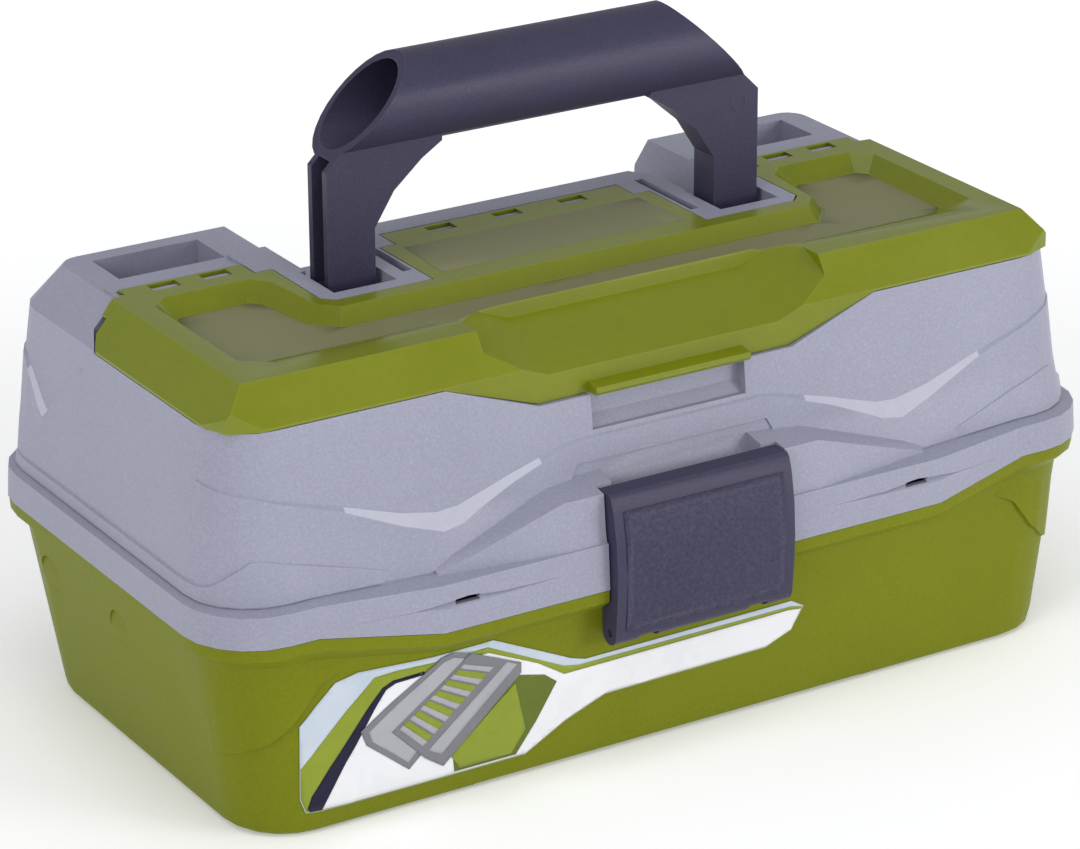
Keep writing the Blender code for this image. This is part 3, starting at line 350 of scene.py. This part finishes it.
def flat_sheet(outline, to_space, step, inset):
    """A finely cut flat polygon, and which of its points are on its rim.

    To_space turns a drawn (u, v) in metres into the point from which it is laid onto a surface.
    """
    bm = bmesh.new()
    face = bm.faces.new([bm.verts.new((u * MM, v * MM, 0)) for u, v in outline])
    if face.normal.z < 0:
        face.normal_flip()
    if inset:
        bmesh.ops.inset_region(
            bm, faces=[face], thickness=inset * MM, use_even_offset=True, use_boundary=True
        )
    bmesh.ops.triangulate(bm, faces=bm.faces[:])
    us, vs = [p[0] for p in outline], [p[1] for p in outline]
    cuts = [((u * MM, 0, 0), (1, 0, 0)) for u in span_steps(min(us), max(us), step)]
    cuts += [((0, v * MM, 0), (0, 1, 0)) for v in span_steps(min(vs), max(vs), step)]
    for place, normal in cuts:
        everything = bm.verts[:] + bm.edges[:] + bm.faces[:]
        bmesh.ops.bisect_plane(bm, geom=everything, plane_co=place, plane_no=normal)
    rim = [v.is_boundary for v in bm.verts]
    for vert in bm.verts:
        vert.co = to_space(vert.co.x, vert.co.y)
    return bm, rim


def shown(name, bm, material):
    """The piece made of a finished bmesh in one material."""
    mesh = bpy.data.meshes.new(name)
    bm.to_mesh(mesh)
    bm.free()
    mesh.materials.append(material)
    piece = bpy.data.objects.new(name, mesh)
    bpy.context.scene.collection.objects.link(piece)
    return piece


def drape(
    name, outline, to_space, way, surface, material, body, lift, thickness, step, inset=0.0, sink=None
):
    """Lays a drawn sheet onto a surface along way, raised by lift, its rim sunk where asked.

    Lift, thickness, step, inset and sink are in millimetres.
    """
    bm, rim = flat_sheet(outline, to_space, step, inset)
    way = Vector(way)
    for vert, at_rim in zip(bm.verts, rim):
        hit = surface.ray_cast(vert.co, way)[0]
        rise = sink if sink is not None and at_rim else lift
        vert.co = hit - way * rise * MM
        vert.co.y = max(vert.co.y, cad_low.y)
    bmesh.ops.recalc_face_normals(bm, faces=bm.faces)
    facing = sum((face.normal.dot(way) * face.calc_area() for face in bm.faces), 0.0)
    if facing > 0:
        bmesh.ops.reverse_faces(bm, faces=bm.faces)
    piece = shown(name, bm, material)
    piece.data.shade_smooth()
    shell = piece.modifiers.new("thickness", "SOLIDIFY")
    shell.thickness = thickness * MM
    shell.offset = -1.0
    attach(piece, body)
    return piece


def before_front(x, z):
    """A point well in front of the box."""
    return Vector((x, FAR_FRONT, z))


def printed(name, outline, ink, layer):
    """One printed area, drawn in x and z in millimetres, laid on the front wall at its layer."""
    piece = drape(
        name, outline, before_front, (0, 1, 0), BASE_SKIN, ink, "base",
        lift=FILM_OFF + layer * LAYER, thickness=INK_THICKNESS, step=LABEL_STEP,
    )
    return piece


ink_silver = colour_ink("ink silver", (0.42, 0.49, 0.58), (0.60, 0.66, 0.73), 0.25)
ink_green = colour_ink("ink green", (0.20, 0.25, 0.02), (0.28, 0.33, 0.03), 0.25)
ink_shade = colour_ink("ink dark green", (0.09, 0.12, 0.01), (0.13, 0.17, 0.02), 0.25)
ink_navy = colour_ink("ink navy", (0.008, 0.007, 0.025), (0.014, 0.012, 0.04), 0.2)
ink_white = colour_ink("ink white", (0.72, 0.72, 0.76), (0.84, 0.84, 0.87), 0.25)
ink_grey = colour_ink("ink grey", (0.16, 0.16, 0.18), (0.22, 0.22, 0.25), 0.25)
ink_pale = colour_ink("ink pale grey", (0.33, 0.33, 0.36), (0.42, 0.42, 0.46), 0.25)

label_band = printed("label_band", [
    (-147.5, 14.0), (-147.5, 41.0), (-134.8, 54.4), (-127.0, 56.6), (-78.0, 57.4), (-46.5, 42.0),
    (-40.8, 40.2), (43.0, 41.0), (48.5, 37.8), (44.5, 29.0), (34.0, 24.5), (-17.0, 24.0), (-31.5, 23.8),
    (-46.7, 17.5), (-62.0, 8.3), (-140.0, 8.3), (-145.5, 8.6),
], ink_silver, 0)
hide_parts("front_label")
printed("label_green", [
    (-147.3, 14.2), (-147.3, 25.2), (-121.5, 53.6), (-114.0, 54.6), (-80.0, 55.2), (-49.3, 39.8),
    (-43.3, 38.6), (43.0, 38.8), (48.0, 37.6), (44.5, 29.0), (34.0, 24.7), (-17.0, 24.2), (-31.5, 24.0),
    (-46.7, 17.7), (-62.0, 8.5), (-140.0, 8.5), (-145.3, 8.9),
], ink_green, 1)
printed("label_navy", [
    (-145.0, 10.0), (-143.5, 14.5), (-118.6, 49.2), (-115.0, 51.2), (-104.0, 52.3), (-100.0, 46.0),
    (-136.0, 8.8), (-144.0, 8.8),
], ink_navy, 2)
printed("label_field", [
    (-139.8, 8.9), (-117.2, 48.2), (-113.8, 50.0), (-80.0, 53.2), (-60.0, 43.8), (-49.0, 36.6),
    (42.5, 37.6), (47.3, 36.9), (44.0, 29.4), (33.8, 25.1), (-17.2, 24.6), (-31.7, 24.4), (-46.9, 18.1),
    (-62.2, 8.9),
], ink_white, 3)
printed("label_tub", [
    (-90.0, 9.6), (-66.0, 9.6), (-58.9, 20.9), (-51.9, 34.6), (-57.0, 38.6), (-70.0, 42.0), (-92.0, 22.0),
], ink_shade, 4)
printed("label_tub_floor", [
    (-88.0, 10.6), (-68.0, 10.6), (-63.0, 19.0), (-68.5, 38.5), (-92.0, 16.5),
], ink_green, 5)
printed("label_lid", [
    (-124.1, 29.1), (-126.2, 34.6), (-98.0, 56.0), (-93.6, 57.2), (-86.0, 54.6), (-97.0, 27.0),
    (-107.8, 15.6),
], ink_grey, 5)
printed("label_lid_rim", [
    (-122.0, 30.0), (-123.4, 33.8), (-97.4, 54.2), (-93.4, 55.2), (-89.0, 53.6), (-99.0, 29.0),
    (-108.4, 18.6),
], ink_pale, 6)
printed("label_tray", [
    (-115.1, 31.9), (-87.1, 55.2), (-66.9, 46.2), (-66.6, 42.2), (-94.7, 13.3), (-101.9, 18.4),
], ink_grey, 7)
printed("label_tray_trough", [
    (-100.9, 21.4), (-72.6, 48.0), (-68.6, 46.0), (-96.0, 18.4),
], ink_pale, 8)


def label_bays():
    """The row of bays in the small picture: dark green plates between pale floors."""
    rear = ((-112.6, 32.2), (-87.6, 53.2))
    front = ((-103.4, 23.2), (-75.6, 49.4))
    count = 7
    bay_start, bay_end, floor_share = 0.07, 0.93, 0.45

    def at(line, share):
        (x0, z0), (x1, z1) = line
        return x0 + (x1 - x0) * share, z0 + (z1 - z0) * share

    for bay in range(count):
        low, high = (bay + bay_start) / count, (bay + bay_end) / count
        half = low + (high - low) * floor_share
        floor = [at(rear, low), at(rear, half), at(front, half), at(front, low)]
        plate = [at(rear, half), at(rear, high), at(front, high), at(front, half)]
        printed(f"label_bay_{bay + 1}", floor, ink_pale, 8)
        if bay < count - 1:
            printed(f"label_plate_{bay + 1}", plate, ink_green, 8)


label_bays()

# ---- tray, dividers and arms ---------------------------------------------------------------------------
# The lift-up tray and its rivets are pale grey polypropylene, the loose dividers and the four arms are
# the base's green.

TRAY_DARK = (0.36, 0.39, 0.42)
TRAY_LIGHT = (0.46, 0.47, 0.50)
TRAY_RUBBED = (0.58, 0.59, 0.62)
tray_grey = plastic(
    "tray grey", TRAY_DARK, TRAY_LIGHT, TRAY_RUBBED, fineness=900.0, depth=0.04, gloss=(0.34, 0.46)
)
dress("tray", tray_grey, 0.5)
for end in ("front", "rear"):
    for side in ("left", "right"):
        dress(f"arm_{end}_{side}", base_green, 0.5)
        dress(f"rivet_base_{end}_{side}", tray_grey, 0.3)
        dress(f"rivet_tray_{end}_{side}", tray_grey, 0.3)
for index in range(1, 7):
    dress(f"divider_{index}", base_green, 0.3)

# ---- lid shell -----------------------------------------------------------------------------------------
# One blue-grey polypropylene moulding: skirt, walls, storage bay, pods and the handle's sockets. The
# tool is finely blasted. The brackets inside its ends are snapped in.

GREY_DARK = (0.262, 0.267, 0.345)
GREY_LIGHT = (0.328, 0.333, 0.420)
GREY_RUBBED = (0.47, 0.475, 0.56)
lid_grey = plastic(
    "lid grey", GREY_DARK, GREY_LIGHT, GREY_RUBBED,
    fineness=1100.0, depth=0.07, gloss=(0.40, 0.50), shine=0.3, speckle=0.9,
)
dress("lid_shell", lid_grey, 0.8)
for side in ("left", "right"):
    dress(f"lid_bracket_{side}", tray_grey, 0.4)

# The chevron belt, the low band above the ledge and the notched rise at the rear of each end stand
# proud of the wall with a sloped top edge; all are part of the same moulding. Its front wall leans
# back more below the knee (y, z) than above it, and the latch stands between two shoulders.
LID_SKIN = skin("lid_shell")
LID_CORNER = (149.6, -53.4, 23.0)
WALL_KNEE = (-76.4, 101.0)
LEAN_BELOW, LEAN_ABOVE = 0.5, 0.121
SHOULDER_REACH = 112.0
WALL_NEAR, WALL_FAR = 0.1, 2.0

# Distances in millimetres from which a wall is looked at.
FRONT_START = -200.0
CORNER_START = 60.0
END_START = 260.0


def look(corner, s, z):
    """Where to look from, and which way, for the wall's point s round from the front's middle.

    Corner holds where the round starts in x, its centre in y and its radius, all in millimetres.
    """
    half, back, radius = corner
    arc = radius * math.pi / 2
    side, s = (1, s) if s > 0 else (-1, -s)
    if s <= half:
        start, way = (s, FRONT_START), (0.0, 1.0)
    elif s <= half + arc:
        turn = (s - half) / radius
        way = (-math.sin(turn), math.cos(turn))
        start = (half - CORNER_START * way[0], back - CORNER_START * way[1])
    else:
        start, way = (END_START, back + s - half - arc), (-1.0, 0.0)
    return Vector((side * start[0], start[1], z)) * MM, Vector((side * way[0], way[1], 0.0))


def lid_wall(s, z, rise):
    """A point rise millimetres out from the lid's plain wall, under the latch's shoulders too."""
    start, way = look(LID_CORNER, s, z)
    hit = LID_SKIN.ray_cast(start, way)[0]
    if abs(s) < SHOULDER_REACH:
        lean = LEAN_BELOW if z < WALL_KNEE[1] else LEAN_ABOVE
        plain = WALL_KNEE[0] + (z - WALL_KNEE[1]) * lean
        hit.y = max(hit.y, (plain - WALL_NEAR) * MM)
        hit.y = min(hit.y, (plain + WALL_FAR) * MM)
    return hit - way * rise * MM


def along(knots, s, column):
    """Value of one column of a table of knots at s."""
    for near, far in zip(knots, knots[1:]):
        if near[0] <= s <= far[0]:
            share = (s - near[0]) / (far[0] - near[0])
            return near[column] + (far[column] - near[column]) * share
    return knots[-1][column]


# The slope grey is paler than the lid grey: it is a painted highlight for the light that the wide top slopes
# of the raised bands catch.
HIGHLIGHT_SLOPE_DARK = (0.43, 0.435, 0.52)
HIGHLIGHT_SLOPE_LIGHT = (0.50, 0.505, 0.59)
painted_highlight_grey = plastic(
    "lid grey with painted highlight", HIGHLIGHT_SLOPE_DARK, HIGHLIGHT_SLOPE_LIGHT, GREY_RUBBED, fineness=600.0, depth=0.02, gloss=(0.25, 0.32)
)
WIDE_SLOPE = 1.9
BAND_ROWS = 6
EDGE_SINK = -0.3
BACK_SINK = -1.1


def raised_band(
    name, knots, foot, step=2.0, wall=lid_wall, material=lid_grey, body="lid"
):
    """A closed band on a wall, its top slope painted a paler grey where it is wide, as a painted highlight.

    Knots: s, edge z, slope width, rise. Foot: s, z, rise. All are in millimetres.
    """
    bm = bmesh.new()
    first, last = knots[0][0], knots[-1][0]
    count = int((last - first) / step)
    columns = []
    for column in range(count + 1):
        s = first + (last - first) * column / count
        top, width, rise = (along(knots, s, place) for place in (1, 2, 3))
        low, low_rise = along(foot, s, 1), along(foot, s, 2)
        profile = [(top, EDGE_SINK)]
        for row in range(BAND_ROWS + 1):
            share = row / BAND_ROWS
            profile.append((top - width + (low - top + width) * share, rise + (low_rise - rise) * share))
        ring = [wall(s, z, out) for z, out in profile]
        ring += [wall(s, z, BACK_SINK) for z, _ in reversed(profile)]
        columns.append([bm.verts.new(point) for point in ring])
    size = len(columns[0])
    for near, far in zip(columns, columns[1:]):
        for place in range(size):
            after = (place + 1) % size
            face = bm.faces.new((near[place], far[place], far[after], near[after]))
            # Wide top slopes take the second material, the paler grey of the painted highlight.
            if place == 0 and near[0].co.z - near[1].co.z > WIDE_SLOPE * MM:
                face.material_index = 1
    bm.faces.new(columns[0])
    bm.faces.new(columns[-1])
    for near, far in zip(columns, columns[1:]):
        for place in (0, 1, BAND_ROWS + 1):
            bm.edges.get((near[place], far[place])).smooth = False
    bmesh.ops.recalc_face_normals(bm, faces=bm.faces)
    piece = shown(name, bm, material)
    piece.data.materials.append(painted_highlight_grey)
    for face in piece.data.polygons:
        face.use_smooth = True
    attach(piece, body)


def other_side(rows):
    """The same rows on the other side of the middle."""
    return [(-row[0], *row[1:]) for row in reversed(rows)]


def both_sides(rows):
    """One table from the far left to the far right."""
    return other_side(rows) + rows


raised_band("chevron_belt", both_sides([
    (36.0, 115.8, 1.1, 0.9), (43.0, 114.8, 1.3, 1.1), (64.0, 109.2, 2.6, 1.9), (84.0, 103.2, 5.0, 2.7),
    (92.0, 102.6, 5.4, 2.9), (105.0, 105.2, 4.2, 2.4), (127.0, 112.2, 1.8, 1.2), (156.0, 120.6, 0.8, 0.8),
    (172.0, 122.8, 0.6, 0.6), (182.0, 124.4, 0.5, 0.5), (184.0, 123.0, 0.5, -0.3),
]), both_sides([
    (39.0, 107.0, 0.6), (44.0, 88.0, 0.6), (100.0, 85.6, 0.5), (156.0, 85.6, 0.2), (184.0, 96.0, -0.3),
]))
LOW_BAND = [
    (112.0, 88.4, 0.5, -0.3), (114.0, 89.3, 0.6, 1.0), (134.0, 94.6, 0.7, 1.2), (156.0, 100.4, 0.7, 1.0),
    (160.0, 100.4, 0.7, 0.9), (173.0, 91.4, 0.7, 0.9), (180.0, 90.6, 0.7, 0.9), (300.0, 90.4, 0.7, 0.9),
    (312.0, 90.4, 0.7, 0.4), (314.0, 90.4, 0.7, -0.3),
]
LOW_FOOT = [(112.0, 85.6, -0.3), (118.0, 85.6, 0.8), (314.0, 85.6, 0.5)]
REAR_RISE = [
    (262.0, 134.0, 0.4, -0.3), (267.0, 134.0, 0.4, 0.3), (280.4, 121.3, 0.6, 0.4), (287.6, 113.4, 1.4, 0.7),
    (289.6, 112.8, 3.2, 1.5), (293.5, 115.5, 3.2, 1.5), (300.8, 121.7, 2.4, 1.3), (306.0, 125.0, 1.6, 1.1),
    (314.0, 128.0, 0.8, 0.6), (316.0, 128.4, 0.8, -0.3),
]
REAR_FOOT = [(262.0, 98.0, -0.3), (316.0, 98.0, -0.3)]
for side, placed in (("left", other_side), ("right", list)):
    raised_band(f"low_band_{side}", placed(LOW_BAND), placed(LOW_FOOT))
    raised_band(f"rear_rise_{side}", placed(REAR_RISE), placed(REAR_FOOT), 1.0)

# The same sort of step sweeps round each front corner of the base, from under the flange down to the
# end wall, where it fades out. It is part of the base's own moulding.
BASE_CORNER = (144.0, -58.0, 22.0)


def base_wall(s, z, rise):
    """A point rise millimetres out from the base's wall."""
    start, way = look(BASE_CORNER, s, z)
    return BASE_SKIN.ray_cast(start, way)[0] - way * rise * MM


SWEEP = [
    (131.0, 58.6, -0.5, -0.3), (134.0, 57.6, -0.6, 0.7), (141.0, 54.0, -0.7, 1.1), (149.0, 42.5, -0.9, 1.4),
    (157.0, 35.0, -0.9, 1.4), (168.0, 30.4, -0.9, 1.1), (178.0, 27.4, -0.8, 0.5), (181.0, 26.8, -0.8, -0.3),
]
SWEEP_FADE = [(131.0, 64.0, -0.3), (181.0, 62.0, -0.3)]
for side, placed in (("right", list), ("left", other_side)):
    raised_band(
        f"base_sweep_{side}", placed(SWEEP), placed(SWEEP_FADE),
        1.5, base_wall, base_green, "base",
    )

# ---- access lid ----------------------------------------------------------------------------------------
# The cap over the storage bay, moulded in the same olive polypropylene. Its tool is polished, so its
# bevels catch the light; only the sunk panels are left grained.

GLOSS_DARK = (0.150, 0.178, 0.003)
GLOSS_LIGHT = (0.190, 0.215, 0.006)
GLOSS_RUBBED = (0.36, 0.40, 0.08)
polished_green = plastic(
    "polished green", GLOSS_DARK, GLOSS_LIGHT, GLOSS_RUBBED,
    fineness=300.0, depth=0.012, gloss=(0.20, 0.28), shine=0.35,
)
dress("access_lid", polished_green, 0.9)

# The floors of its sunk bays and its tongue are grained dull by a coarser blast in the tool.
CAP_SKIN = skin("access_lid")
DULL_DARK = (0.195, 0.192, 0.095)
DULL_LIGHT = (0.228, 0.224, 0.120)
DULL_RUBBED = (0.27, 0.27, 0.16)
dull_green = plastic(
    "grained green", DULL_DARK, DULL_LIGHT, DULL_RUBBED, fineness=1400.0, depth=0.08, gloss=(0.5, 0.6)
)
FAR_ABOVE = 0.3


def above(x, y):
    """A point well above the box."""
    return Vector((x, y, FAR_ABOVE))


def grained(name, outline):
    """A dull floor panel on the access lid, drawn in x and y."""
    piece = drape(
        name, outline, above, (0, 0, -1), CAP_SKIN, dull_green, "access_lid",
        lift=0.12, thickness=0.3, step=12.0, inset=0.3, sink=-0.1,
    )


BAY_FLOOR = [
    (0.0, -43.0), (52.0, -41.1), (70.0, -37.1), (136.0, -37.1), (140.6, -33.6), (140.6, 9.6), (137.6, 13.1),
    (112.4, 13.1), (108.9, 9.6), (104.9, -14.0), (96.4, -23.4), (0.0, -23.4),
]
grained("channel_panel", other_side(BAY_FLOOR[1:-1]) + BAY_FLOOR)
grained("tongue_panel", [(-49.5, -8.7), (49.5, -8.7), (47.9, 19.2), (-47.9, 19.2)])

# ---- handle and latch ----------------------------------------------------------------------------------
# Both are slate blue, moulded in tools with a coarse leather-like grain that gives a dry grip. They
# turn on steel pins.

SLATE_DARK = (0.034, 0.031, 0.064)
SLATE_LIGHT = (0.052, 0.048, 0.088)
SLATE_RUBBED = (0.115, 0.112, 0.150)
slate = plastic(
    "slate", SLATE_DARK, SLATE_LIGHT, SLATE_RUBBED,
    fineness=1500.0, depth=0.10, gloss=(0.36, 0.46), rub=0.7, speckle=0.9,
)
dress("handle", slate, 0.7)
dress("latch", slate, 0.7)

# A shallow round gate mark, left by the tool as a thin ring, stands on the front of each leg.
HANDLE_SKIN = skin("handle")
MARK_RADIUS = 3.1
MARK_FOOT, MARK_TOP = 0.35, 0.35 * 0.6
MARK_RISE, MARK_SINK = 0.14, -0.2
MARK_STEPS = 32


def gate_mark(name, x, z):
    """A thin raised ring on the front of the handle."""
    place, normal = HANDLE_SKIN.ray_cast(before_front(x * MM, z * MM), Vector((0, 1, 0)))[:2]
    across = Vector((1, 0, 0))
    up = normal.cross(across).normalized()
    bm = bmesh.new()
    rings = []
    profile = (
        (MARK_RADIUS - MARK_FOOT, MARK_SINK), (MARK_RADIUS - MARK_TOP, MARK_RISE),
        (MARK_RADIUS + MARK_TOP, MARK_RISE), (MARK_RADIUS + MARK_FOOT, MARK_SINK),
    )
    for out, lift in profile:
        ring = []
        for step in range(MARK_STEPS):
            turn = 2 * math.pi * step / MARK_STEPS
            spot = place + (across * math.cos(turn) + up * math.sin(turn)) * out * MM + normal * lift * MM
            ring.append(bm.verts.new(spot))
        rings.append(ring)
    for near, far in zip(rings, rings[1:] + rings[:1]):
        for step in range(MARK_STEPS):
            after = (step + 1) % MARK_STEPS
            bm.faces.new((near[step], near[after], far[after], far[step]))
    bmesh.ops.recalc_face_normals(bm, faces=bm.faces)
    piece = shown(name, bm, slate)
    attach(piece, "handle")


gate_mark("gate_mark_left", -78.5, 191.0)
gate_mark("gate_mark_right", 78.5, 191.0)

# The latch's face is a grained field inside a smooth border.
LATCH_SKIN = skin("latch")
coarse_slate = plastic(
    "grained slate", SLATE_DARK, SLATE_LIGHT, SLATE_RUBBED,
    fineness=800.0, depth=0.25, gloss=(0.42, 0.52), rub=0.7, speckle=1.6,
)
FIELD = [(-31.8, 95.2), (-31.8, 52.6), (31.8, 52.6), (31.8, 95.2)]
field = drape(
    "latch_field", FIELD, before_front, (0, 1, 0), LATCH_SKIN, coarse_slate, "latch",
    lift=0.38, thickness=0.8, step=3.0, inset=0.5, sink=-0.2,
)

# ---- stage, lights and camera --------------------------------------------------------------------------
# A white table top under a wide soft box, with a smaller soft box on each side. The table glows a
# little more further out, so it runs into the white behind it. A long lens looks down from the left.


TABLE_HALF = 6.0
TABLE_HEIGHT = -0.0002
TABLE_GLOW = (("From Min", 0.25), ("From Max", 1.4), ("To Min", 0.2), ("To Max", 0.75))


def table_top():
    """Plain pale floor, just under the box so that nothing flickers."""
    mesh = bpy.data.meshes.new("table_top")
    sides = ((-1, -1), (1, -1), (1, 1), (-1, 1))
    corners = [(x * TABLE_HALF, y * TABLE_HALF, TABLE_HEIGHT) for x, y in sides]
    mesh.from_pydata(corners, [], [(0, 1, 2, 3)])
    piece = bpy.data.objects.new("table_top", mesh)
    bpy.context.scene.collection.objects.link(piece)
    material = bpy.data.materials.new("table white")
    material.use_nodes = True
    shader = material.node_tree.nodes["Principled BSDF"]
    shader.inputs["Base Color"].default_value = (0.95, 0.95, 0.95, 1)
    shader.inputs["Emission Color"].default_value = (1, 1, 1, 1)
    shader.inputs["Roughness"].default_value = 0.9
    shader.inputs["Specular IOR Level"].default_value = 0.1
    tree, link = material.node_tree.nodes, material.node_tree.links.new
    place = tree.new("ShaderNodeTexCoord")
    reach = tree.new("ShaderNodeVectorMath")
    reach.operation = "LENGTH"
    glow = tree.new("ShaderNodeMapRange")
    for name, value in TABLE_GLOW:
        glow.inputs[name].default_value = value
    link(place.outputs["Object"], reach.inputs[0])
    link(reach.outputs["Value"], glow.inputs["Value"])
    link(glow.outputs["Result"], shader.inputs["Emission Strength"])
    mesh.materials.append(material)


AIM = Vector((0, 0, 0.1))


def soft_box(name, place, size, power):
    """A square area lamp that looks at the box, its size in metres and its power in watts."""
    lamp = bpy.data.lights.new(name, "AREA")
    lamp.shape = "SQUARE"
    lamp.size = size
    lamp.energy = power
    piece = bpy.data.objects.new(name, lamp)
    piece.location = place
    piece.rotation_mode = "QUATERNION"
    piece.rotation_quaternion = (AIM - Vector(place)).to_track_quat("-Z", "Y")
    bpy.context.scene.collection.objects.link(piece)


table_top()
soft_box("top box", (-0.2, -0.5, 1.6), size=1.0, power=6)
soft_box("left box", (-1.6, -0.7, 0.8), size=0.8, power=8)
soft_box("right box", (1.2, -1.6, 0.55), size=0.8, power=15)

world = bpy.data.worlds.new("studio")
world.use_nodes = True
sky = world.node_tree.nodes["Background"].inputs
sky["Color"].default_value = (0.97, 0.98, 1.0, 1)
sky["Strength"].default_value = 0.5
bpy.context.scene.world = world
bpy.context.scene.view_settings.view_transform = "Standard"

lens = bpy.data.cameras.new("lens")
lens.lens = 142.4
lens.sensor_width = 36.0
lens.clip_end = 50.0
camera = bpy.data.objects.new("camera", lens)
RIGHT = Vector((0.85112, -0.52498, -0.00500))
UP = Vector((0.20373, 0.32148, 0.92477))
BACK = Vector((-0.48386, -0.78808, 0.38055))
camera.rotation_mode = "QUATERNION"
camera.rotation_quaternion = Matrix((RIGHT, UP, BACK)).transposed().to_quaternion()
camera.location = (-0.7308, -1.1813, 0.6580)
bpy.context.scene.collection.objects.link(camera)
bpy.context.scene.camera = camera
